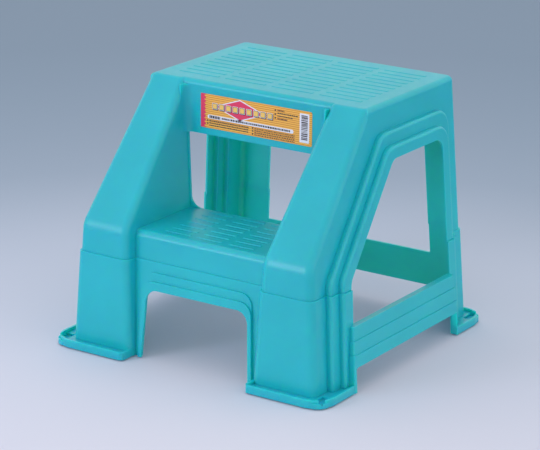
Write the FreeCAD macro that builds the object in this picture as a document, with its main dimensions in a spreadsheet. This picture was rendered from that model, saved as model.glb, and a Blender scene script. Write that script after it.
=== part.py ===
import FreeCAD, Part
import os

# Two-step stool, used as a mounting block.
# X runs across the treads, Y runs from the low front step to the high back tread, Z is up.
# The origin is on the floor, at the middle of the rectangle that the four feet fill.
# The moulding is one open shell: the outer shape less the same shape set in by the wall.

DIMENSIONS = {
    "top_height": (300.0, "floor to upper tread"),
    "top_half_width": (146.7, "middle to side wall, at the upper tread"),
    "top_front": (36.5, "origin forward to the riser plane"),
    "top_back": (156.5, "origin back to the rear wall, at the upper tread"),
    "side_draft": (0.059, "side wall, outward per mm down"),
    "back_draft": (0.045, "rear wall, backward per mm down"),
    "front_draft": (0.03, "front walls, forward per mm down"),
    "wall": (2.7, "moulded wall"),
    "bend_height": (149.0, "floor to the bend of the columns"),
    "bend_front": (160.5, "origin forward to the bend of the columns"),
    "gap_half_width": (97.8, "middle to the columns' inner faces, at the upper tread"),
    "gap_draft": (0.045, "columns' inner faces, inward per mm down"),
    "step_height": (147.0, "floor to the lower tread"),
    "apron_front": (143.0, "origin forward to the apron, at the lower tread"),
    "apron_draft": (0.07, "apron, forward per mm down"),
    "ledge_height": (115.0, "floor to the ledge round the legs"),
    "ledge_step": (1.5, "width of the ledge round the legs"),
    "floor_gap": (1.5, "floor to the moulding's lower edge"),
    "fascia_drop": (238.0, "floor to the lower edge of the fascia"),
    "band_top_one": (269.0, "floor to the top of the outer side band"),
    "band_top_two": (254.0, "floor to the top of the inner side band"),
    "band_front_one": (133.5, "origin forward to the outer band's leg"),
    "band_front_two": (117.5, "origin forward to the inner band's leg"),
    "band_back_one": (127.5, "origin back to the outer band's rear edge"),
    "band_back_two": (115.0, "origin back to the inner band's rear edge"),
    "band_bend": (128.0, "floor to the bend of the side bands"),
    "band_out_one": (7.0, "outer band, out from the side wall"),
    "band_out_two": (13.5, "inner band, out from the side wall"),
    "window_top": (240.0, "floor to the top of the side window"),
    "window_bend": (124.0, "floor to the bend of the side window"),
    "window_front": (101.5, "origin forward to the side window, at its bend"),
    "window_back": (99.5, "origin back to the side window, at the upper tread"),
    "rail_top": (76.0, "floor to the top of the rails"),
    "rail_out": (18.5, "side rail, out from the side wall"),
    "rail_front": (110.5, "origin forward to the side rail's front end"),
    "rail_back": (109.5, "origin back to the side rail's rear end"),
    "rail_ledge": (1.0, "each ledge of the side rail"),
    "rail_ledge_high": (60.0, "floor to the side rail's upper ledge"),
    "rail_ledge_low": (44.0, "floor to the side rail's lower ledge"),
    "side_rail_drop": (29.5, "floor to the side rail's lower edge"),
    "side_gap_front": (110.0, "origin forward to the gap under the side rail"),
    "side_gap_back": (113.5, "origin back to the gap under the side rail"),
    "back_rail_drop": (34.0, "floor to the rear rail's lower edge"),
    "back_gap_half": (103.0, "middle to the rear legs, at the upper tread"),
    "arch_height": (83.0, "floor to the top of the front arch"),
    "arch_half": (68.5, "middle to the arch's sides, at its top"),
    "arch_border": (4.5, "border beside the arch"),
    "arch_ledge": (2.0, "each ledge round the arch"),
    "arch_ledge_high": (103.0, "floor to the arch's upper ledge"),
    "arch_ledge_low": (93.0, "floor to the arch's lower ledge"),
    "corner_round": (9.0, "outer corners of the legs"),
    "top_round": (6.0, "edges of the upper tread"),
    "nose_round": (8.0, "nose of the lower tread"),
    "bend_round": (24.0, "bend of the columns"),
    "band_round": (3.5, "edges of the side bands and of the rails"),
    "band_turn": (23.0, "corners of the side bands"),
    "window_round": (15.0, "corners of the openings"),
    "tray_half_width": (185.5, "middle to the feet's outer faces"),
    "tray_front": (180.5, "origin forward to the feet's outer faces"),
    "tray_back": (180.5, "origin back to the feet's outer faces"),
    "tray_inner": (83.5, "middle to the front feet's inner ends"),
    "tray_inner_back": (108.0, "middle to the rear feet's inner ends"),
    "tray_floor": (7.5, "floor to the upper face inside a foot's rim"),
    "tray_rim": (11.0, "floor to the top of a foot's rim"),
    "tray_round": (26.0, "outer corner of a foot"),
    "tray_end_round": (5.0, "inner end of a foot"),
    "flare_round": (10.0, "hollow corner between the fascia and a column"),
    "pad_diameter": (24.0, "rubber pad"),
    "pad_height": (3.3, "rubber pad"),
    "pad_round": (0.6, "rubber pad's lower edge"),
    "pad_inset": (16.5, "foot's outer faces to the pad's axis"),
    "pad_clearance": (0.3, "round a pad, in its socket"),
    "socket_wall": (2.5, "round a pad's socket"),
    "pit_floor": (4.8, "floor to the bottom of the pit above a pad"),
    "pit_rim": (4.3, "foot's outer face to the pit"),
    "pit_width": (12.0, "pit above a pad, across"),
    "pit_length": (20.0, "pit above a pad, along"),
    "rib_depth": (12.0, "ribs below the treads"),
    "rib_width": (2.0, "ribs below the treads"),
    "rib_spacing": (46.0, "between ribs"),
    "ridge_height": (0.6, "ridges on the treads"),
    "ridge_width": (5.0, "ridges on the treads, at their foot"),
    "ridge_edge": (1.0, "sloping edge of a ridge"),
    "ridge_pitch": (14.05, "from one row of ridges to the next"),
    "ridge_gap": (9.0, "between two ridges of a row"),
    "top_ridge_length": (55.0, "ridges on the upper tread"),
    "step_ridge_length": (34.0, "ridges on the lower tread"),
    "top_ridge_start": (26.3, "riser plane to the first row on the upper tread"),
    "step_ridge_start": (17.2, "nose of the lower tread to the first row on it"),
    "label_width": (151.0, "label"),
    "label_height": (40.0, "label"),
    "label_low": (246.0, "floor to the label's lower edge"),
    "label_thickness": (0.3, "label"),
    "label_round": (2.5, "label's corners"),
}

OVERLAP = 2.0       # how far one block runs into the next, so that they join
REACH = 60.0        # how far a cutter runs past what it cuts
UNDER = 5.0         # how far a hollow runs below the moulding
BAND_ROOT = 112.0   # where the side bands' blocks start, inside the hollow columns
CUTTER_ROOT = 122.0 # where the cutters through a side start, inside the hollow columns
COLUMN_ROOT = 2.5   # how far forward of the origin the columns' blocks end, inside the block behind them
FLUSH = 0.01        # how near two places are when they count as the same
CLEAR = 5.0         # how far from a wanted edge every unwanted one lies, at least
LEAST_RADIUS = 0.6  # for the inner side of a small outer radius
SHORT = 3.0         # edges shorter than this are left over from a rounding
TOP_ROWS = 11       # rows of ridges on the upper tread
STEP_ROWS = 7       # rows of ridges on the lower tread

doc = FreeCAD.newDocument("mounting_block")
sheet = doc.addObject("Spreadsheet::Sheet", "Sizes")
for row, (alias, (number, note)) in enumerate(DIMENSIONS.items(), start=1):
    sheet.set(f"A{row}", alias.replace("_", " "))
    sheet.set(f"B{row}", str(number))
    sheet.setAlias(f"B{row}", alias)
    sheet.set(f"C{row}", note)
doc.recompute()


def size(alias):
    """A driving dimension, in mm."""
    return float(sheet.get(alias))


# ---------------------------------------------------------------- places, as formulas of the sheet

TOP = "Sizes.top_height"
LEDGE = "Sizes.ledge_height"
STEP = "Sizes.ledge_step"
BASE = "Sizes.floor_gap"
# the slope of the columns' front, as run over rise, and how a wall's thickness shows along Y on it
RUN = "((Sizes.bend_front - Sizes.top_front) / (Sizes.top_height - Sizes.bend_height))"
SLANT = f"sqrt(1 + {RUN} * {RUN})"


def side(level, out="0"):
    """X of the side wall at a level."""
    return f"(Sizes.top_half_width + Sizes.side_draft * ({TOP} - ({level})) + ({out}))"


def gap_side(level, out="0"):
    """X of a column's inner face at a level."""
    return f"(Sizes.gap_half_width - Sizes.gap_draft * ({TOP} - ({level})) - ({out}))"


def back(level, at="Sizes.top_back", out="0"):
    """Y of a rear edge at a level."""
    return f"({at} + Sizes.back_draft * ({TOP} - ({level})) + ({out}))"


def shank(level, at="Sizes.bend_front", bend="Sizes.bend_height", out="0"):
    """Y of an upright front at a level, below its bend."""
    return f"(0 - ({at} + Sizes.front_draft * ({bend} - ({level})) + ({out})))"


def slope(level, at="Sizes.bend_front", bend="Sizes.bend_height", out="0"):
    """Y of a sloping front at a level, above its bend."""
    return f"(0 - {at} + (({level}) - {bend}) * {RUN} - ({out}) * {SLANT})"


def arch_side(level, out="0"):
    """X of the arch's side at a level."""
    return f"(Sizes.arch_half + Sizes.side_draft * (Sizes.arch_height - ({level})) + ({out}))"


def apron(level, out="0"):
    """Y of the apron at a level."""
    return f"(0 - (Sizes.apron_front + Sizes.apron_draft * (Sizes.step_height - ({level})) + ({out})))"


# ---------------------------------------------------------------- blocks

def tier(name, low, high, left, right, front, rear):
    """A block between two levels; each side is a function that gives its place at a level."""
    wedge = doc.addObject("Part::Wedge", name)
    wedge.Placement = FreeCAD.Placement(FreeCAD.Vector(), FreeCAD.Rotation(FreeCAD.Vector(1, 0, 0), 90))
    formulas = {
        "Ymin": low, "Ymax": high,
        "Xmin": left(low), "X2min": left(high),
        "Xmax": right(low), "X2max": right(high),
        "Zmin": f"0 - ({rear(low)})", "Z2min": f"0 - ({rear(high)})",
        "Zmax": f"0 - ({front(low)})", "Z2max": f"0 - ({front(high)})",
    }
    for field, formula in formulas.items():
        wedge.setExpression(field, formula)
    return wedge


def mirrored(formula):
    """The same place on the other side of the middle."""
    return lambda level: f"0 - ({formula(level)})"


def fixed(formula):
    """A place that is the same at every level."""
    return lambda level: formula


def join(name, pieces):
    """One solid from several that overlap."""
    if len(pieces) == 1:
        return pieces[0]
    fusion = doc.addObject("Part::MultiFuse", name)
    fusion.Shapes = pieces
    fusion.Refine = True
    return fusion


def subtract(name, base, tool):
    """One solid less another."""
    cut = doc.addObject("Part::Cut", name)
    cut.Base = base
    cut.Tool = tool
    return cut


def mirror(name, source):
    """The same solid on the left-hand side."""
    twin = doc.addObject("Part::Mirroring", name)
    twin.Source = source
    twin.Base = (0, 0, 0)
    twin.Normal = (1, 0, 0)
    return twin


def rounded(name, base, radius, wanted):
    """Round the edges that wanted(edge) picks."""
    doc.recompute()
    edges = [(index, radius, radius) for index, edge in enumerate(base.Shape.Edges, start=1) if wanted(edge)]
    fillet = doc.addObject("Part::Fillet", name)
    fillet.Base = base
    fillet.Edges = edges
    return fillet


def across(edge):
    """Is the edge parallel to X?"""
    extent = edge.BoundBox
    return extent.YLength < FLUSH and extent.ZLength < FLUSH


def through(edge):
    """Is the edge parallel to Y?"""
    extent = edge.BoundBox
    return extent.XLength < FLUSH and extent.ZLength < FLUSH


def along_depth(edge):
    """Is the edge level, and does it run back from the front?"""
    extent = edge.BoundBox
    return extent.YLength > REACH and extent.ZLength < FLUSH


def at_level(edge, level):
    """Does the edge lie at a level?"""
    extent = edge.BoundBox
    return extent.ZLength < FLUSH and abs(extent.ZMin - level) < FLUSH


def upright(edge):
    """Does the edge climb?"""
    return edge.BoundBox.ZLength > 1.0


# ---------------------------------------------------------------- the shell's blocks, outer and inner

class Kind:
    """The outer shape, or the hollow inside it, whose faces are set in by the wall."""

    def __init__(self, name, inset, inside):
        self.name = name
        self.inset = inset
        self.inside = inside
        self.foot = BASE if inside == 0 else f"0 - {UNDER}"
        self.seat = f"({LEDGE} - {inset})"
        self.start = f"({self.seat} - {OVERLAP})"
        self.into = f"0 - {COLUMN_ROOT}"

    def bend(self, at):
        """The level of a bend: set in, the slope meets the upright a little lower."""
        return f"({at} - {self.inset} * ({SLANT} - 1) / ({RUN} - Sizes.front_draft))"

    def radius(self, alias):
        """An outer radius, or the one that keeps the wall's thickness inside it."""
        return max(size(alias) - self.inside, LEAST_RADIUS)

    def level(self, alias):
        """A level of the outer shape, or the one below it in the hollow."""
        return size(alias) - self.inside


def crown(kind):
    """The full-width blocks behind the riser plane, above and below the ledge."""
    blocks = []
    for place, low, high, out in (("High", kind.start, f"({TOP} - {kind.inset})", "0"),
                                  ("Low", kind.foot, kind.seat, STEP)):
        width = lambda z, out=out: side(z, f"{out} - {kind.inset}")
        block = tier(f"Crown{place}{kind.name}", low, high, mirrored(width), width,
                     fixed(f"(0 - Sizes.top_front + {kind.inset})"),
                     lambda z, out=out: back(z, out=f"{out} - {kind.inset}"))
        blocks.append(rounded(f"CrownPosts{place}{kind.name}", block, kind.radius("corner_round"),
                              lambda e: upright(e) and e.BoundBox.YMin > 0))
    top = kind.level("top_height")
    blocks[0] = rounded(f"CrownTop{kind.name}", blocks[0], kind.radius("top_round"),
                        lambda e: at_level(e, top))
    return blocks


def column(kind):
    """The right-hand column's blocks: slope and shank, and the shank below the ledge."""
    bend = kind.bend("Sizes.bend_height")
    slant = tier(f"Slope{kind.name}", bend, f"({TOP} - {kind.inset})",
                 lambda z: gap_side(z, f"0 - {kind.inset}"), lambda z: side(z, f"0 - {kind.inset}"),
                 lambda z: slope(z, out=f"0 - {kind.inset}"), fixed(kind.into))
    shanks = []
    for place, low, high, out in (("High", kind.start, bend, "0"), ("Low", kind.foot, kind.seat, STEP)):
        shanks.append(tier(f"Shank{place}{kind.name}", low, high,
                           lambda z, out=out: gap_side(z, f"{out} - {kind.inset}"),
                           lambda z, out=out: side(z, f"{out} - {kind.inset}"),
                           lambda z, out=out: shank(z, out=f"{out} - {kind.inset}"), fixed(kind.into)))
    upper = join(f"Column{kind.name}", [slant, shanks[0]])
    low, high = size("ledge_height") + CLEAR, size("top_height") - CLEAR
    bent = rounded(f"ColumnBend{kind.name}", upper, kind.radius("bend_round"),
                   lambda e: across(e) and low < e.BoundBox.ZMin < high)
    forward = lambda e: e.BoundBox.YMin < -COLUMN_ROOT - CLEAR and upright(e)
    edged = rounded(f"ColumnEdges{kind.name}", bent, kind.radius("corner_round"), forward)
    top = kind.level("top_height")
    topped = rounded(f"ColumnTop{kind.name}", edged, kind.radius("top_round"),
                     lambda e: at_level(e, top) and e.BoundBox.YMin < -COLUMN_ROOT - FLUSH
                     and e.BoundBox.XMax > size("gap_half_width") + kind.inside + FLUSH)
    foot = rounded(f"ShankFoot{kind.name}", shanks[1], kind.radius("corner_round"), forward)
    return [topped, foot]


def lower_step(kind):
    """The blocks below the lower tread, between the columns, with the ledges round the arch."""
    spread = f"0 - {kind.inset} - {OVERLAP}" if kind.inside else f"0 - {OVERLAP}"
    width = lambda z: gap_side(z, spread)
    blocks = []
    for place, low, high, out in (("High", kind.start, f"(Sizes.step_height - {kind.inset})", "0"),
                                  ("Low", kind.foot, kind.seat, STEP)):
        blocks.append(tier(f"Step{place}{kind.name}", low, high, mirrored(width), width,
                           lambda z, out=out: apron(z, f"{out} - {kind.inset}"), fixed(kind.into)))
    tread = kind.level("step_height")
    blocks[0] = rounded(f"Nose{kind.name}", blocks[0], kind.radius("nose_round"),
                        lambda e: across(e) and at_level(e, tread) and e.BoundBox.YMax < -COLUMN_ROOT - CLEAR)
    for number, ledge in ((1, "arch_ledge_high"), (2, "arch_ledge_low")):
        width = lambda z: arch_side(z, f"Sizes.arch_border - {kind.inset}")
        out = f"{STEP} + {number} * Sizes.arch_ledge - {kind.inset}"
        block = tier(f"Arch{number}{kind.name}", kind.foot, f"(Sizes.{ledge} - {kind.inset})",
                     mirrored(width), width, lambda z, out=out: apron(z, out), fixed(kind.into))
        level = kind.level(ledge)
        blocks.append(rounded(f"ArchTop{number}{kind.name}", block, kind.radius("window_round"),
                              lambda e: along_depth(e) and at_level(e, level)))
    return blocks


def band(kind, number, name):
    """One side band, right-hand, above and below the ledge."""
    turn = kind.bend("Sizes.band_bend")
    at, rear = f"Sizes.band_front_{name}", f"Sizes.band_back_{name}"
    root = fixed(str(BAND_ROOT))
    flush = f"0 - {kind.inset}"
    face = lambda z: side(z, f"Sizes.band_out_{name} - {kind.inset}")
    heel = lambda z: back(z, rear, flush)
    slant = tier(f"BandSlope{number}{kind.name}", turn, f"(Sizes.band_top_{name} - {kind.inset})", root, face,
                 lambda z: slope(z, at, "Sizes.band_bend", flush), heel)
    leg = tier(f"BandLeg{number}{kind.name}", kind.start, turn, root, face,
               lambda z: shank(z, at, "Sizes.band_bend", flush), heel)
    upper = join(f"Band{number}{kind.name}", [slant, leg])
    upper = rounded(f"BandTurn{number}{kind.name}", upper, kind.radius("band_turn"),
                    lambda e: across(e) and e.BoundBox.ZMin > size("ledge_height"))
    lower = tier(f"BandFoot{number}{kind.name}", kind.foot, kind.seat, root,
                 lambda z: side(z, f"Sizes.band_out_{name} + {STEP} - {kind.inset}"),
                 lambda z: shank(z, at, "Sizes.band_bend", f"{STEP} - {kind.inset}"),
                 lambda z: back(z, rear, f"{STEP} - {kind.inset}"))
    edge = kind.radius("band_round")
    outermost = lambda e: e.BoundBox.XMin > BAND_ROOT + CLEAR and e.BoundBox.DiagonalLength > SHORT
    low = size("ledge_height") - CLEAR / 2
    upper = rounded(f"BandEdge{number}{kind.name}", upper, edge,
                    lambda e: outermost(e) and (upright(e) or e.BoundBox.ZMax > low))
    lower = rounded(f"BandFootEdge{number}{kind.name}", lower, edge, lambda e: outermost(e) and upright(e))
    return [upper, lower]


def side_rail(kind):
    """The side rail, right-hand, with its two ledges."""
    blocks = []
    for count, top in ((0, "rail_top"), (1, "rail_ledge_high"), (2, "rail_ledge_low")):
        grow = f"{count} * Sizes.rail_ledge - {kind.inset}"
        block = tier(f"Rail{count}{kind.name}", kind.foot, f"(Sizes.{top} - {kind.inset})",
                     fixed(str(BAND_ROOT)),
                     lambda z: side(z, f"Sizes.rail_out + {STEP} + {grow}"),
                     lambda z: shank(z, "Sizes.rail_front", "Sizes.rail_top", grow),
                     lambda z: f"(Sizes.rail_back + Sizes.back_draft * (Sizes.rail_top - ({z})) + {grow})")
        radius = max(kind.radius("band_round") / 2, LEAST_RADIUS)
        blocks.append(rounded(f"RailEdge{count}{kind.name}", block, radius,
                              lambda e: e.BoundBox.XMin > size("top_half_width") and upright(e)))
    return blocks


def shape_of(kind):
    """Every block of one kind as one solid."""
    right = column(kind) + band(kind, 1, "one") + band(kind, 2, "two") + side_rail(kind)
    half = join(f"Side{kind.name}", right)
    sides = [half, mirror(f"SideLeft{kind.name}", half)]
    return join(f"Whole{kind.name}", crown(kind) + lower_step(kind) + sides)


# ---------------------------------------------------------------- openings

def opening(name, tiers, corners):
    """A cutter: its tiers as one solid, its corners rounded."""
    return rounded(f"{name}Round", join(name, tiers), size("window_round"), corners)


def side_window():
    """The window in the right-hand side, above the rail."""
    past = fixed(f"(Sizes.tray_half_width + {REACH})")
    root = fixed(str(CUTTER_ROOT))
    heel = lambda z: back(z, "Sizes.window_back")
    at, turn = "Sizes.window_front", "Sizes.window_bend"
    tiers = [
        tier("WindowSlope", turn, "Sizes.window_top", root, past, lambda z: slope(z, at, turn), heel),
        tier("WindowLeg", "Sizes.rail_top", turn, root, past, lambda z: shank(z, at, turn), heel),
    ]
    return opening("SideWindow", tiers, lambda e: across(e) and e.BoundBox.ZMin > size("rail_top") + CLEAR)


def side_gap():
    """The gap under the right-hand side rail."""
    past = fixed(f"(Sizes.tray_half_width + {REACH})")
    root = fixed(str(CUTTER_ROOT))
    gap = tier("SideGapBlock", f"0 - {REACH}", "Sizes.side_rail_drop", root, past,
               fixed("(0 - Sizes.side_gap_front)"), fixed("Sizes.side_gap_back"))
    return rounded("SideGap", gap, size("band_round"),
                   lambda e: across(e) and at_level(e, size("side_rail_drop")))


def back_gaps():
    """The openings in the rear wall, above and below its rail."""
    width = lambda z: f"(Sizes.back_gap_half + Sizes.side_draft * ({TOP} - ({z})))"
    inner = fixed("(Sizes.top_back - 6 * Sizes.wall)")
    past = fixed(f"(Sizes.tray_back + {REACH})")
    above = tier("BackWindow", "Sizes.rail_top", "Sizes.window_top", mirrored(width), width, inner, past)
    below = tier("BackGap", f"0 - {REACH}", "Sizes.back_rail_drop", mirrored(width), width, inner, past)
    return [
        rounded("BackWindowRound", above, size("window_round"),
                lambda e: along_depth(e) and at_level(e, size("window_top"))),
        rounded("BackGapRound", below, size("band_round"),
                lambda e: along_depth(e) and at_level(e, size("back_rail_drop"))),
    ]


def riser_window():
    """The opening between the lower tread and the fascia."""
    width = lambda z: gap_side(z, "Sizes.ledge_step")
    hole = tier("RiserHole", "Sizes.step_height", "Sizes.fascia_drop", mirrored(width), width,
                fixed("(0 - Sizes.top_front - 2 * Sizes.wall)"),
                fixed("(0 - Sizes.top_front + 2 * Sizes.wall)"))
    return rounded("RiserWindow", hole, size("window_round"),
                   lambda e: through(e) and at_level(e, size("step_height")))


def front_arch():
    """The arch in the apron."""
    hole = tier("ArchHole", f"0 - {REACH}", "Sizes.arch_height", mirrored(arch_side), arch_side,
                fixed(f"(0 - Sizes.bend_front - {REACH})"), fixed("(0 - Sizes.apron_front + 3 * Sizes.wall)"))
    return rounded("FrontArch", hole, size("window_round"),
                   lambda e: through(e) and at_level(e, size("arch_height")))


# ---------------------------------------------------------------- ribs and feet

def box(name, left, right, front, rear, low, high):
    """A plain block whose six faces are formulas."""
    block = doc.addObject("Part::Box", name)
    block.setExpression("Length", f"({right}) - ({left})")
    block.setExpression("Width", f"({rear}) - ({front})")
    block.setExpression("Height", f"({high}) - ({low})")
    block.setExpression("Placement.Base.x", left)
    block.setExpression("Placement.Base.y", front)
    block.setExpression("Placement.Base.z", low)
    return block


def ribs():
    """Ribs below both treads, and the lip below the lower tread's rear edge."""
    pieces = []
    half = "Sizes.rib_width / 2"
    sink = "0.75 * Sizes.wall"
    under_top = (f"{TOP} - Sizes.wall - Sizes.rib_depth", f"{TOP} - {sink}")
    under_step = (f"Sizes.step_height - Sizes.wall - Sizes.rib_depth", f"Sizes.step_height - {sink}")
    for count in (-2, -1, 0, 1, 2):
        middle = f"{count} * Sizes.rib_spacing"
        pieces.append(box(f"TopRib{count + 2}", f"{middle} - {half}", f"{middle} + {half}",
                          f"0 - Sizes.top_front + {sink}", f"Sizes.top_back - {sink}", *under_top))
        if abs(count) < 2:
            pieces.append(box(f"StepRib{count + 1}", f"{middle} - {half}", f"{middle} + {half}",
                              "0 - Sizes.apron_front + Sizes.nose_round", "0 - Sizes.top_front", *under_step))
    lip = f"{gap_side('Sizes.step_height')} + {sink}"
    pieces.append(box("StepLip", f"0 - ({lip})", lip,
                      "0 - Sizes.top_front", "0 - Sizes.top_front + Sizes.wall", *under_step))
    return pieces


def ridge(name, middle_x, middle_y, half_length, level):
    """One ridge: a low bar with sloping edges."""
    foot, crest = f"({level} - Sizes.wall / 2)", f"({level} + Sizes.ridge_height)"
    half_width = "Sizes.ridge_width / 2"
    shrink = lambda z: f"Sizes.ridge_edge * (({z}) - ({level})) / Sizes.ridge_height"
    return tier(name, foot, crest,
                lambda z: f"({middle_x} - ({half_length} - {shrink(z)}))",
                lambda z: f"({middle_x} + ({half_length} - {shrink(z)}))",
                lambda z: f"({middle_y} - ({half_width} - {shrink(z)}))",
                lambda z: f"({middle_y} + ({half_width} - {shrink(z)}))")


def ridges(name, rows, columns, start, length, level):
    """Rows of ridges across a tread."""
    made = []
    for row in range(rows):
        middle_y = f"({start} + {row} * Sizes.ridge_pitch)"
        for column_of_row in range(columns):
            place = column_of_row - (columns - 1) / 2
            middle_x = f"({place} * ({length} + Sizes.ridge_gap))"
            called = f"{name}Ridge{row}_{column_of_row}"
            made.append(ridge(called, middle_x, middle_y, f"({length} / 2)", level))
    return made


def all_ridges():
    """The ridges of both treads."""
    upper = ridges("Top", TOP_ROWS, 4, "(Sizes.top_ridge_start - Sizes.top_front)",
                   "Sizes.top_ridge_length", TOP)
    lower = ridges("Step", STEP_ROWS, 3, "(Sizes.step_ridge_start - Sizes.apron_front)",
                   "Sizes.step_ridge_length", "Sizes.step_height")
    return upper + lower


def flare():
    """The hollow, rounded corner between the fascia and the right-hand column's inner face."""
    radius = "Sizes.flare_round"
    plane = "0 - Sizes.top_front"
    low, high = "Sizes.fascia_drop", f"{TOP} - Sizes.top_round"
    inner = lambda z: gap_side(z, radius)
    outer = lambda z: gap_side(z, "0 - Sizes.wall / 2")
    block = tier("FlareBlock", low, high, inner, outer,
                 fixed(f"({plane} - {radius})"), fixed(f"({plane} + Sizes.wall / 2)"))
    bar = doc.addObject("Part::Cylinder", "FlareBar")
    bar.Placement = FreeCAD.Placement(FreeCAD.Vector(), FreeCAD.Rotation(FreeCAD.Vector(0, 1, 0), 0))
    bar.setExpression("Radius", radius)
    bar.setExpression("Height", f"2 * ({high} - {low})")
    bar.setExpression("Placement.Rotation.Angle", "atan(Sizes.gap_draft)")
    start = f"({low} - {REACH / 2})"
    bar.setExpression("Placement.Base.x", gap_side(start, radius))
    bar.setExpression("Placement.Base.y", f"{plane} - {radius}")
    bar.setExpression("Placement.Base.z", start)
    return subtract("Flare", block, bar)


def upright_corner(sign_y):
    """Picks a foot's outer corner: the upright edge furthest from the middle, in front or behind."""
    outer_y = size("tray_front") if sign_y < 0 else size("tray_back")

    def wanted(edge):
        extent = edge.BoundBox
        beside = abs(extent.XMax - size("tray_half_width")) < size("wall") + FLUSH
        return upright(edge) and beside and abs(sign_y * extent.YMax - outer_y) < size("wall") + FLUSH

    return wanted


def inner_corner(sign_y, left):
    """Picks a foot's corner at its inner end, on its outer face."""
    outer_y = size("tray_front") if sign_y < 0 else size("tray_back")

    def wanted(edge):
        extent = edge.BoundBox
        beside = abs(extent.XMin - left) < FLUSH
        return upright(edge) and beside and abs(sign_y * extent.YMax - outer_y) < FLUSH

    return wanted


def foot(place, inner_end, front, rear, sign_y):
    """A right-hand foot, what is cut out of it for the pad and the pit above it, and the pad's axis."""
    wall = "Sizes.wall"
    left, right = f"Sizes.{inner_end}", "Sizes.tray_half_width"
    outer = box(f"{place}Foot", left, right, front, rear, BASE, "Sizes.tray_rim")
    outer = rounded(f"{place}FootRound", outer, size("tray_round"), upright_corner(sign_y))
    outer = rounded(f"{place}FootEnd", outer, size("tray_end_round"), inner_corner(sign_y, size(inner_end)))
    inset = (f"{left} + {wall}", f"{right} - {wall}", f"{front} + {wall}", f"{rear} - {wall}")
    inside = size("tray_round") - size("wall")
    above = box(f"{place}FootAbove", *inset, "Sizes.tray_floor", f"Sizes.tray_rim + {OVERLAP}")
    above = rounded(f"{place}FootAboveRound", above, inside, upright_corner(sign_y))
    below = box(f"{place}FootBelow", *inset, f"0 - {UNDER}", f"Sizes.tray_floor - {wall}")
    below = rounded(f"{place}FootBelowRound", below, inside, upright_corner(sign_y))
    edge = front if sign_y < 0 else rear
    middle_x = f"{right} - Sizes.pad_inset"
    middle_y = f"{edge} + ({-sign_y}) * Sizes.pad_inset"
    socket = cylinder(f"{place}Socket", middle_x, middle_y, BASE, "Sizes.tray_floor",
                      "Sizes.pad_diameter / 2 + Sizes.pad_clearance + Sizes.socket_wall")
    seat = cylinder(f"{place}Seat", middle_x, middle_y, f"0 - {UNDER}", "Sizes.pad_height",
                    "Sizes.pad_diameter / 2 + Sizes.pad_clearance")
    pit_edge = f"{right} - Sizes.pit_rim"
    pit = box(f"{place}Pit", f"{pit_edge} - Sizes.pit_width", pit_edge,
              f"{middle_y} - Sizes.pit_length / 2", f"{middle_y} + Sizes.pit_length / 2",
              "Sizes.pit_floor", f"Sizes.tray_rim + {OVERLAP}")
    tray = subtract(f"{place}Tray", outer, join(f"{place}TrayCuts", [above, below]))
    whole = join(f"{place}FootWhole", [tray, socket])
    return whole, join(f"{place}FootCuts", [seat, pit]), (middle_x, middle_y)


def cylinder(name, middle_x, middle_y, low, high, radius):
    """An upright cylinder whose sizes are formulas."""
    round_bar = doc.addObject("Part::Cylinder", name)
    round_bar.setExpression("Radius", radius)
    round_bar.setExpression("Height", f"({high}) - ({low})")
    round_bar.setExpression("Placement.Base.x", middle_x)
    round_bar.setExpression("Placement.Base.y", middle_y)
    round_bar.setExpression("Placement.Base.z", low)
    return round_bar


# ---------------------------------------------------------------- the pieces

def moulding():
    """The stool's body: one hollow moulding, open below."""
    outer = shape_of(Kind("Outer", "0", 0.0))
    hollow = shape_of(Kind("Inner", "Sizes.wall", size("wall")))
    feet = [
        foot("Front", "tray_inner", "0 - Sizes.tray_front", "0 - Sizes.side_gap_front", -1),
        foot("Rear", "tray_inner_back", "Sizes.side_gap_back", "Sizes.tray_back", 1),
    ]
    trays, sockets = [], []
    for name, (tray, socket, place) in zip(("Front", "Rear"), feet):
        trays += [tray, mirror(f"{name}TrayLeft", tray)]
        sockets += [socket, mirror(f"{name}SocketLeft", socket)]
    full = join("BodyFull", [outer] + trays)
    open_shell = subtract("BodyShell", full, hollow)
    window, gap = side_window(), side_gap()
    cutters = [window, mirror("WindowLeft", window), gap, mirror("GapLeft", gap)]
    cutters += [riser_window(), front_arch()]
    cut_shell = subtract("BodyOpen", open_shell, join("Openings", cutters + back_gaps() + sockets))
    corner = flare()
    added = ribs() + all_ridges() + [corner, mirror("FlareLeft", corner)]
    return join("Body", [cut_shell] + added), [place for tray, socket, place in feet]


def pads(places):
    """The four rubber pads, one in each foot's socket."""
    made = []
    for end, (middle_x, middle_y) in zip(("front", "rear"), places):
        for hand, sign in (("right", "1"), ("left", "-1")):
            pad = cylinder(f"Pad_{end}_{hand}", f"{sign} * ({middle_x})", middle_y, "0", "Sizes.pad_height",
                           "Sizes.pad_diameter / 2")
            pad = rounded(f"PadRound_{end}_{hand}", pad, size("pad_round"), lambda e: at_level(e, 0.0))
            pad.Label = f"{end}_{hand}_rubber_pad"
            made.append(pad)
    return made


def label():
    """The label on the fascia."""
    plate = box("LabelPlate", "0 - Sizes.label_width / 2", "Sizes.label_width / 2",
                "0 - Sizes.top_front - Sizes.label_thickness", "0 - Sizes.top_front",
                "Sizes.label_low", "Sizes.label_low + Sizes.label_height")
    plate = rounded("LabelRound", plate, size("label_round"), through)
    plate.Label = "fascia_label"
    return plate


body, pad_places = moulding()
body.Label = "moulded_body"
PIECES = [body, label()] + pads(pad_places)

doc.recompute()
for thing in doc.Objects:
    if "Invalid" in thing.State or "Error" in thing.State:
        raise RuntimeError(f"{thing.Name} failed: {thing.State}")
for piece in PIECES:
    if piece.Shape.isNull() or not piece.Shape.isValid():
        raise RuntimeError(f"{piece.Label} has no valid shape")

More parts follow.
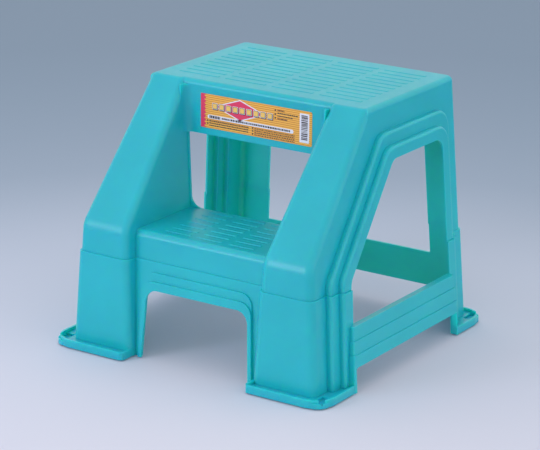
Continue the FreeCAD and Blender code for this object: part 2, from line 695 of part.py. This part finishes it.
os.makedirs("parts", exist_ok=True)
for piece in PIECES:
    piece.Shape.exportStep(f"parts/{piece.Label}.step")
    extent = piece.Shape.BoundBox
    print(piece.Label, len(piece.Shape.Solids), "solid", round(piece.Shape.Volume / 1000, 2), "cm3",
          round(extent.XLength, 1), round(extent.YLength, 1), round(extent.ZLength, 1))
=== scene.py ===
# %% [markdown]
# # A moulded step block, from its CAD frame to a finished picture
#
# The object is a two-step mounting block for a stable: one piece of injection-moulded polypropylene,
# with a printed film on its fascia and four rubber pads under its feet. The CAD model fixes every size.
# Blender adds what CAD leaves out: the plastic's sheen and grain, the print, the pads' grooves, the light.

import random
from math import radians

import bmesh
import bpy
from mathutils import Matrix, Vector


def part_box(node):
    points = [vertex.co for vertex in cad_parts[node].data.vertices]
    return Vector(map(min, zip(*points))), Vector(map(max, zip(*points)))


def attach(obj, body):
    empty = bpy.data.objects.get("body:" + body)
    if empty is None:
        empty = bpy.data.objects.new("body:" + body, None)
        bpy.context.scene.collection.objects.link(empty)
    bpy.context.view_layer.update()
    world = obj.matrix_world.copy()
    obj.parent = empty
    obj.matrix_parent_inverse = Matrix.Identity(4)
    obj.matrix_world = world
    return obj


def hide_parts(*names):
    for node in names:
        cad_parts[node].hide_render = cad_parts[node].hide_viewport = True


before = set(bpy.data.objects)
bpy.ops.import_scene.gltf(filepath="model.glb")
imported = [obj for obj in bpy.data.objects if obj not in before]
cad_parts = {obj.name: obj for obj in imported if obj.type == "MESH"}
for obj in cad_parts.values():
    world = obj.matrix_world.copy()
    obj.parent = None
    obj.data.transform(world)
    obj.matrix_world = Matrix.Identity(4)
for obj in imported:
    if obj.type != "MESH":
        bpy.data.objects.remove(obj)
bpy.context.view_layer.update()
MM = 0.001  # the frame is in metres, and the sizes below read best in millimetres

print("CAD nodes:", sorted(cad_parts))

# %% [markdown]
# ## Three helpers for every material
#
# Colours are written as the hex values that a paint chart gives, which are sRGB, while shaders want linear
# light, so one function converts them. A second starts a material with its Principled shader. A third adds
# one node, sets it and joins its inputs, so that a material reads as a list of what it is made of.

# %% Colour, material and node helpers
def colour(chart):
    """A chart value such as "#F4A640" as linear RGBA."""
    parts = [int(chart[i:i + 2], 16) / 255 for i in (1, 3, 5)]
    return [p / 12.92 if p <= 0.04045 else ((p + 0.055) / 1.055) ** 2.4 for p in parts] + [1.0]


def start_material(name, chart, roughness, ior=1.5, **settings):
    """A material with a Principled shader whose constant values are set on its own sockets."""
    material = bpy.data.materials.new(name)
    material.use_nodes = True
    shader = material.node_tree.nodes["Principled BSDF"]
    shader.inputs["Base Color"].default_value = colour(chart)
    shader.inputs["Roughness"].default_value = roughness
    shader.inputs["IOR"].default_value = ior
    for socket, value in settings.items():
        shader.inputs[socket.replace("_", " ")].default_value = value
    return material, shader


def add_node(material, kind, settings=None, **joined):
    """One node: its settings, and for each input (by name, or in0, in1) a value or another's output."""
    tree = material.node_tree
    node = tree.nodes.new(kind)
    for key, value in (settings or {}).items():
        setattr(node, key, value)
    for socket, value in joined.items():
        name = socket.replace("_", " ")
        numbered = name.startswith("in") and name[2:].isdigit()
        where = node.inputs[int(name[2:])] if numbered else node.inputs[name]
        if isinstance(value, bpy.types.NodeSocket):
            tree.links.new(value, where)
        else:
            where.default_value = value
    return node


# %% [markdown]
# ## The studio
#
# A product picture of this kind is taken with a long lens from a little above, so that upright edges stay
# nearly upright. The stool stands on a pale sheet that darkens into the distance. That darkening is a
# painted pool of light and its falloff, part of the sheet's own material, measured from a fixed place on the
# floor.

# %% Camera
CAMERA_PLACE = Vector((1.4654, -2.2194, 0.9769))
TURN, TILT_DOWN, ROLL = 33.50, 17.63, 0.56  # degrees
LENS_MM, SENSOR_MM = 160.8, 36.0

camera_data = bpy.data.cameras.new("studio_camera")
camera_data.lens, camera_data.sensor_width = LENS_MM, SENSOR_MM
camera = bpy.data.objects.new("studio_camera", camera_data)
bpy.context.scene.collection.objects.link(camera)
camera.matrix_world = (Matrix.Translation(CAMERA_PLACE) @ Matrix.Rotation(radians(TURN), 4, "Z")
                       @ Matrix.Rotation(radians(90 - TILT_DOWN), 4, "X")
                       @ Matrix.Rotation(radians(ROLL), 4, "Z"))
bpy.context.scene.camera = camera
# The plain transform shows a chart value as itself in white light.
bpy.context.scene.view_settings.view_transform = "Standard"
print("camera stands", round(CAMERA_PLACE.length, 2), "m from the stool's foot")

# %% Floor sheet with a painted pool of light
SHEET_RADIUS = 14.0              # metres, so that its edge is far off
LIGHT_POOL = (0.22, -0.42, 0.0)  # the middle of the painted pool of light on the sheet, in front of the stool
# metres from there, and the sheet's colour with its painted light and shade at that distance
PAINTED_LIGHT_TONES = ((0.25, "#E3DFEC"), (0.75, "#CDD2E4"), (1.15, "#96A5B9"), (1.9, "#8798AD"), (5.0, "#7B8B9E"))
LAST_REACH = PAINTED_LIGHT_TONES[-1][0]

sheet_mesh = bmesh.new()
bmesh.ops.create_circle(sheet_mesh, cap_ends=True, segments=96, radius=SHEET_RADIUS)
sheet_data = bpy.data.meshes.new("floor_sheet")
sheet_mesh.to_mesh(sheet_data)
sheet_mesh.free()
floor_sheet = bpy.data.objects.new("floor_sheet", sheet_data)
bpy.context.scene.collection.objects.link(floor_sheet)

paper_and_painted_light, paper_shader = start_material("matt studio paper", "#D2D6E7", 0.85)
# painted light: the sheet is coloured paler near LIGHT_POOL and darker further off, a painted pool of light
# falling off into the distance
place = add_node(paper_and_painted_light, "ShaderNodeTexCoord").outputs["Object"]
away = add_node(paper_and_painted_light, "ShaderNodeVectorMath", {"operation": "DISTANCE"}, in0=place, in1=LIGHT_POOL)
share = add_node(paper_and_painted_light, "ShaderNodeMath", {"operation": "DIVIDE"},
                 in0=away.outputs["Value"], in1=LAST_REACH)
tones = add_node(paper_and_painted_light, "ShaderNodeValToRGB", Fac=share.outputs["Value"])
tones.color_ramp.interpolation = "B_SPLINE"
for reach, tone in PAINTED_LIGHT_TONES[1:-1]:
    tones.color_ramp.elements.new(reach / LAST_REACH)
for element, (reach, tone) in zip(tones.color_ramp.elements, PAINTED_LIGHT_TONES):
    element.position = reach / LAST_REACH
    element.color = colour(tone)
paper_and_painted_light.node_tree.links.new(tones.outputs["Color"], paper_shader.inputs["Base Color"])
sheet_data.materials.append(paper_and_painted_light)
print("the sheet is", 2 * SHEET_RADIUS, "m across, in", len(PAINTED_LIGHT_TONES), "tones")

# %% [markdown]
# A soft lamp stands in front on the left, low and near. It lights the apron and the slopes, draws a pale
# line along every rounded nose, and leaves the steps beside the side bands in more shade. A broad, weaker
# lamp fills the right-hand side. The world's own light is the room's, pale and even.

# %% Lamps
def soft_lamp(name, place, aim, width, power, chart):
    """A square area lamp at a place, facing another, width in metres, power in watts."""
    lamp_data = bpy.data.lights.new(name, "AREA")
    lamp_data.shape, lamp_data.size, lamp_data.energy = "SQUARE", width, power
    lamp_data.color = colour(chart)[:3]
    lamp = bpy.data.objects.new(name, lamp_data)
    bpy.context.scene.collection.objects.link(lamp)
    lamp.matrix_world = (Matrix.Translation(place)
                         @ (Vector(aim) - Vector(place)).to_track_quat("-Z", "Y").to_matrix().to_4x4())
    return lamp


STOOL_MIDDLE = (0.0, 0.0, 0.15)
soft_lamp("key_lamp", (-0.86, -1.66, 0.68), STOOL_MIDDLE, 0.7, 8.6, "#DCE6FF")
soft_lamp("fill_lamp", (2.3, 0.2, 0.9), STOOL_MIDDLE, 1.6, 4.0, "#F4F6FF")

world = bpy.data.worlds.new("room_light")
world.use_nodes = True
room = world.node_tree.nodes["Background"]
room.inputs["Color"].default_value = colour("#E8ECEE")
room.inputs["Strength"].default_value = 1.04
bpy.context.scene.world = world
print("lamps:", sorted(lamp.name for lamp in bpy.data.lights))

# %% [markdown]
# ## The moulding
#
# Polypropylene is a waxy, translucent plastic. This one is coloured turquoise all the way through, and its
# mould was lightly spark-eroded, which leaves a fine even grain and a satin sheen. Light that enters one
# face of the thin wall comes out of the other, greener. Subsurface scattering gives that glow to the shaded
# insides, so one material does for the whole piece. The CAD solid already has every wall, ledge, ridge and
# round edge, so the node itself is kept.

# %% Turquoise polypropylene
GRAIN = 1.4 * MM        # the real grain is about 0.2 mm: this is as coarse as it needs to be to show
FLOW_MARK = 70 * MM     # slow shifts of tone where the melt ran together
SCUFF = 9 * MM          # faint rubbed patches, from stacking and boots
LIGHT_REACH = 11 * MM   # how far light travels inside the plastic
REACH_SHARES = (0.02, 1.0, 0.38)  # red hardly enters, green goes farthest

polypropylene, plastic = start_material("turquoise polypropylene, spark-eroded", "#1AB8C8", 0.35, 1.49,
                                        Subsurface_Weight=0.85, Subsurface_Scale=LIGHT_REACH)
plastic.inputs["Subsurface Radius"].default_value = REACH_SHARES
links = polypropylene.node_tree.links
place = add_node(polypropylene, "ShaderNodeTexCoord").outputs["Object"]

flow = add_node(polypropylene, "ShaderNodeTexNoise", Vector=place, Scale=1 / FLOW_MARK, Detail=2.0)
tint = add_node(polypropylene, "ShaderNodeValToRGB", Fac=flow.outputs["Fac"])
tint.color_ramp.elements[0].position, tint.color_ramp.elements[1].position = 0.3, 0.7
tint.color_ramp.elements[0].color, tint.color_ramp.elements[1].color = colour("#17B5C5"), colour("#1EBCCC")
links.new(tint.outputs["Color"], plastic.inputs["Base Color"])

scuffs = add_node(polypropylene, "ShaderNodeTexNoise",
                  Vector=place, Scale=1 / SCUFF, Detail=5.0, Roughness=0.6)
sheen = add_node(polypropylene, "ShaderNodeMapRange", Value=scuffs.outputs["Fac"],
                 From_Min=0.35, From_Max=0.75, To_Min=0.31, To_Max=0.40)
links.new(sheen.outputs["Result"], plastic.inputs["Roughness"])

grain = add_node(polypropylene, "ShaderNodeTexNoise", Vector=place, Scale=1 / GRAIN, Detail=3.0)
relief = add_node(polypropylene, "ShaderNodeBump",
                  Strength=0.12, Distance=0.15 * MM, Height=grain.outputs["Fac"])
links.new(relief.outputs["Normal"], plastic.inputs["Normal"])

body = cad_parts["moulded_body"]
body.data.materials.clear()
body.data.materials.append(polypropylene)
print("moulded_body keeps its CAD mesh of", len(body.data.polygons), "faces")

# %% [markdown]
# ## The printed film
#
# The film is thin, varnished and printed in a few flat inks: an orange ground ruled with fine lines, a
# crimson end with a saw-tooth edge, a plain lozenge, a row of plain tiles, a pale strip, a pale panel
# and rows of small marks. The tiles and marks stand where the real one has wording, and say nothing.
# A picture would be the usual way. Here each ink is its own very thin layer of flat shapes, cut with mesh
# operators, so every edge stays crisp from close by, and the layers can't drift from the film.

# %% Inks
def ink(name, chart):
    """A flat printing ink under a thin, slightly dulled varnish."""
    return start_material(name, chart, 0.35, 1.5, Coat_Weight=0.2, Coat_Roughness=0.2)


PRINT_SCREEN = 0.5 * MM  # the dots of the print, as slight shifts of tone
orange_film, film_shader = ink("orange ink on polypropylene film", "#FFBE50")
place = add_node(orange_film, "ShaderNodeTexCoord").outputs["Object"]
screen = add_node(orange_film, "ShaderNodeTexNoise", Vector=place, Scale=1 / PRINT_SCREEN, Detail=1.0)
shade = add_node(orange_film, "ShaderNodeValToRGB", Fac=screen.outputs["Fac"])
shade.color_ramp.elements[0].position, shade.color_ramp.elements[1].position = 0.35, 0.65
shade.color_ramp.elements[0].color, shade.color_ramp.elements[1].color = colour("#FFB948"), colour("#FFC45A")
orange_film.node_tree.links.new(shade.outputs["Color"], film_shader.inputs["Base Color"])

crimson_ink, _ = ink("crimson ink", "#EC3560")
pale_ink, _ = ink("pale ink", "#F2EEF8")
dark_ink, _ = ink("dark brown ink", "#3E3230")
ochre_ink, _ = ink("ochre ink", "#DC8424")
yellow_ink, _ = ink("yellow ink", "#FFCB66")

# %% Layers of flat shapes
FILM_LOW, FILM_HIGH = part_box("fascia_label")
LAYER = 0.06 * MM  # far thicker than ink, so that the layers stay apart


def soften(shape, geom, width, kind, segments):
    """Rounds edges or corners evenly."""
    bmesh.ops.bevel(shape, geom=geom, offset=width, offset_type="OFFSET", affect=kind, segments=segments,
                    profile=0.5, material=-1)


def film_place(u, v):
    """A point of the film, from its upper left corner, in mm to the right and down."""
    return Vector((FILM_LOW.x + u * MM, FILM_LOW.y, FILM_HIGH.z - v * MM))


def lay_out(shape, u, v, width, height):
    """Turns a flat shape of width and height 1 to face the front, sizes it and puts its middle at u, v."""
    stretch = Matrix.Diagonal((width * MM, height * MM, 1.0, 1.0))
    facing = Matrix.Rotation(radians(90), 4, "X")
    put = Matrix.Translation(film_place(u, v)) @ facing @ stretch
    bmesh.ops.transform(shape, matrix=put, verts=shape.verts)


def block(u, v, width, height, corner=0.0):
    """A rectangle, or one with round corners."""
    shape = bmesh.new()
    bmesh.ops.create_grid(shape, x_segments=1, y_segments=1, size=0.5)
    lay_out(shape, u, v, width, height)
    if corner:
        soften(shape, shape.verts[:], corner * MM, "VERTICES", 6)
    return shape


def lozenge(u, v, width, height):
    """A diamond."""
    shape = bmesh.new()
    bmesh.ops.create_circle(shape, cap_ends=True, segments=4, radius=0.5)
    lay_out(shape, u, v, width, height)
    return shape


def saw_edge(width, height, teeth, bite):
    """A rectangle at the film's left end, whose right edge is a row of teeth."""
    shape = bmesh.new()
    bmesh.ops.create_grid(shape, x_segments=1, y_segments=2 * teeth, size=0.5)
    edge = sorted((v for v in shape.verts if v.co.x > 0), key=lambda v: v.co.y)
    bmesh.ops.translate(shape, vec=(bite / width, 0, 0), verts=edge[::2])
    lay_out(shape, width / 2, height / 2, width, height)
    return shape


def print_layer(name, shapes, layer, material):
    """Flat shapes as one thin printed piece, raised by its layer."""
    whole = bmesh.new()
    for shape in shapes:
        part = bpy.data.meshes.new("part")
        shape.to_mesh(part)
        shape.free()
        whole.from_mesh(part)
        bpy.data.meshes.remove(part)
    skin = bmesh.ops.extrude_face_region(whole, geom=whole.faces[:])
    front = [item for item in skin["geom"] if isinstance(item, bmesh.types.BMVert)]
    bmesh.ops.translate(whole, vec=(0, -layer * LAYER, 0), verts=front)
    bmesh.ops.recalc_face_normals(whole, faces=whole.faces)
    data = bpy.data.meshes.new(name)
    whole.to_mesh(data)
    whole.free()
    data.materials.append(material)
    piece = bpy.data.objects.new(name, data)
    bpy.context.scene.collection.objects.link(piece)
    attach(piece, "root")
    return piece


# %% The film and its inks
FILM_CORNER, FILM_EDGE = 2.0 * MM, 0.1 * MM
FLUSH = 0.01 * MM  # two places closer than this count as the same

film_mesh = bmesh.new()
bmesh.ops.create_cube(film_mesh, size=1.0)
film_size = FILM_HIGH - FILM_LOW
put = Matrix.Translation((FILM_LOW + FILM_HIGH) / 2) @ Matrix.Diagonal((*film_size, 1.0))
bmesh.ops.transform(film_mesh, verts=film_mesh.verts, matrix=put)
corners = [e for e in film_mesh.edges if abs(e.verts[0].co.y - e.verts[1].co.y) > FLUSH]
soften(film_mesh, corners, FILM_CORNER, "EDGES", 8)
front_edges = [e for e in film_mesh.edges if all(v.co.y < FILM_LOW.y + FLUSH for v in e.verts)]
soften(film_mesh, front_edges, FILM_EDGE, "EDGES", 2)
film_data = bpy.data.meshes.new("printed_film")
film_mesh.to_mesh(film_data)
film_mesh.free()
film_data.materials.append(orange_film)
film = bpy.data.objects.new("printed_film", film_data)
bpy.context.scene.collection.objects.link(film)
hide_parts("fascia_label")
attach(film, "root")

print(film.name, len(film_data.polygons), "faces")

# %% The ground's shapes
FILM_WIDE, FILM_TALL = (FILM_HIGH.x - FILM_LOW.x) / MM, (FILM_HIGH.z - FILM_LOW.z) / MM
MARGIN = 0.4                    # mm, left clear at the film's edges, both sides together
RULING, RULE_WIDE = 2.35, 0.75  # mm, from one ruled line to the next, and a line's own width

rules = [block(FILM_WIDE / 2, RULING * (line + 0.5), FILM_WIDE - MARGIN, RULE_WIDE)
         for line in range(int(FILM_TALL / RULING))]
print_layer("ruled_lines", rules, 1, ochre_ink)
print_layer("crimson_end", [saw_edge(4.8, FILM_TALL - MARGIN, 9, 2.8)], 2, crimson_ink)
print_layer("pale_lozenge", [lozenge(54, 13.0, 70, 25.0)], 2, pale_ink)
print_layer("crimson_lozenge", [lozenge(54, 13.0, 64, 22.4)], 3, crimson_ink)
print_layer("pale_shapes", [block(68, 26.2, 117, 4.6, 2.2), block(141, 19.8, 12.6, 33.6, 0.4)], 2, pale_ink)

print("the ground has", len(rules), "ruled lines")

# %% A row of plain tiles
TILE_COUNT, FIRST_TILE, TILE_STEP, TILES_DOWN = 9, 19.5, 9.4, 13.0  # mm on the film
TILE_WIDE, TILE_ROUND = 7.4, 0.12  # its width in mm, and its corners' radius over its width
RIM, SHADOW_SHIFT = 0.9, 0.8       # mm
TILES = [(FIRST_TILE + TILE_STEP * number, TILES_DOWN) for number in range(TILE_COUNT)]


def tiles(smaller, shift=0.0):
    """The row of equal plain tiles, each smaller by so much and moved down to the right."""
    width = TILE_WIDE - smaller
    return [block(u + shift, v + shift, width, width, width * TILE_ROUND) for u, v in TILES]


print_layer("tile_shadows", tiles(0.0, SHADOW_SHIFT), 4, dark_ink)
print_layer("tile_rims", tiles(0.0), 5, pale_ink)
print_layer("tile_edges", tiles(RIM), 6, dark_ink)
print_layer("tile_faces", tiles(2 * RIM), 7, yellow_ink)
print(len(TILES), "tiles in four layers")


# %% Rows of small marks
SHORTEST, LONGEST, LEAST_LEFT = 0.7, 2.6, 0.3  # mm, a dash's length, and the least one at a row's end


def row_of_marks(start, end, v, height, gap, draw):
    """Short dashes of uneven length in one row, as small print looks from a step away."""
    marks, u = [], start
    while u < end:
        length = min(draw.uniform(SHORTEST, LONGEST), end - u)
        if length > LEAST_LEFT:
            marks.append(block(u + length / 2, v, length, height))
        u += length + gap
    return marks


# a row's start, end, depth, height and gap, in mm on the film
ROWS = [(12, 27, 26.2, 3.2, 0.5), (29, 122, 26.2, 2.2, 0.6)]
ROWS += [(12, 66, v, 1.3, 0.6) for v in (30.9, 33.6, 36.3)]
ROWS += [(74, 128, v, 1.0, 0.8) for v in (30.6, 33.0, 35.4, 37.8)]
ROWS += [(105, end, v, 1.3, 0.6) for v, end in ((4.6, 114), (7.8, 132), (11.0, 126), (14.2, 118))]
BULLETS = [(9.6, 31.0), (9.6, 34.4), (71.5, 30.4), (71.5, 33.8), (71.5, 37.2),
           (102, 4.8), (102, 9.4), (102, 13.6)]
BULLET_WIDE, BULLET_ROUND = 1.8, 0.5

hand = random.Random(11)
small_marks = []
for row in ROWS:
    small_marks += row_of_marks(*row, hand)
small_marks += [block(u, v, BULLET_WIDE, BULLET_WIDE, BULLET_ROUND) for u, v in BULLETS]

# %% Uneven bars on the pale panel
PANEL_MIDDLE, BARS_START, BARS_END, BAR_LONG = 141.4, 5.0, 34, 8.4  # mm on the film

depth = BARS_START
while depth < BARS_END:
    bar = hand.uniform(0.5, 1.6)
    small_marks.append(block(PANEL_MIDDLE - 0.5 * hand.random(), depth + bar / 2, BAR_LONG, bar))
    depth += bar + hand.uniform(0.4, 1.0)
marks = print_layer("small_marks", small_marks, 3, dark_ink)
print("the print has", len(marks.data.polygons), "small faces")

# %% [markdown]
# ## The rubber pads
#
# Each foot stands on a disc of black rubber pressed into a socket. A rubber foot is turned or moulded round,
# so its half-section is drawn once, with the grooves that keep it from sliding on a wet yard, and spun
# about its axis. The same half-section serves all four, spun where the CAD has each pad.

# %% Black rubber
BLOOM = 4 * MM  # the grey haze that rubber sweats out lies in patches about this size

rubber, rubber_shader = start_material("black nitrile rubber, moulded", "#151617", 0.75, 1.52)
place = add_node(rubber, "ShaderNodeTexCoord").outputs["Object"]
haze = add_node(rubber, "ShaderNodeTexNoise", Vector=place, Scale=1 / BLOOM, Detail=4.0)
dusty = add_node(rubber, "ShaderNodeValToRGB", Fac=haze.outputs["Fac"])
dusty.color_ramp.elements[0].position, dusty.color_ramp.elements[1].position = 0.4, 0.8
dusty.color_ramp.elements[0].color, dusty.color_ramp.elements[1].color = colour("#141516"), colour("#2A2B2C")
rubber.node_tree.links.new(dusty.outputs["Color"], rubber_shader.inputs["Base Color"])

# %% Pads
GROOVES = (3.2, 6.0, 8.8)  # mm, from the axis to each groove's middle
GROOVE_WIDE, GROOVE_DEEP, GROOVE_SLANT = 0.9, 0.5, 0.2
LOWER_ROUND, LOWER_BULGE, TOP_EDGE = 0.6, 0.18, 0.3
PAD_STEPS = 64


def pad_section(radius, height):
    """The pad's half-section in mm, from the axis below, out, up and back to the axis above."""
    line = [(0.0, 0.0)]
    for middle in GROOVES:
        inner, outer = middle - GROOVE_WIDE / 2, middle + GROOVE_WIDE / 2
        line += [(inner, 0.0), (inner + GROOVE_SLANT, GROOVE_DEEP), (outer - GROOVE_SLANT, GROOVE_DEEP),
                 (outer, 0.0)]
    line += [(radius - LOWER_ROUND, 0.0), (radius - LOWER_BULGE, LOWER_BULGE), (radius, LOWER_ROUND)]
    return line + [(radius, height - TOP_EDGE), (radius - TOP_EDGE, height), (0.0, height)]


def rubber_pad(node):
    """A grooved pad in a CAD pad's place."""
    low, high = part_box(node)
    middle = (low + high) / 2
    radius, height = (high.x - low.x) / 2 / MM, (high.z - low.z) / MM
    turned = bmesh.new()
    corners = [turned.verts.new((middle.x + out * MM, middle.y, low.z + up * MM))
               for out, up in pad_section(radius, height)]
    section = [turned.edges.new(pair) for pair in zip(corners, corners[1:])]
    bmesh.ops.spin(turned, geom=corners + section, cent=(middle.x, middle.y, 0), axis=(0, 0, 1),
                   angle=radians(360), steps=PAD_STEPS, use_merge=True, use_duplicate=False)
    bmesh.ops.remove_doubles(turned, verts=turned.verts, dist=0.001 * MM)
    bmesh.ops.recalc_face_normals(turned, faces=turned.faces)
    data = bpy.data.meshes.new(f"{node}_grooved")
    turned.to_mesh(data)
    turned.free()
    data.materials.append(rubber)
    piece = bpy.data.objects.new(f"{node}_grooved", data)
    bpy.context.scene.collection.objects.link(piece)
    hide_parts(node)
    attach(piece, "root")
    return piece


for pad_node in sorted(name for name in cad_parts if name.endswith("rubber_pad")):
    grooved = rubber_pad(pad_node)
    print(grooved.name, len(grooved.data.polygons), "faces")
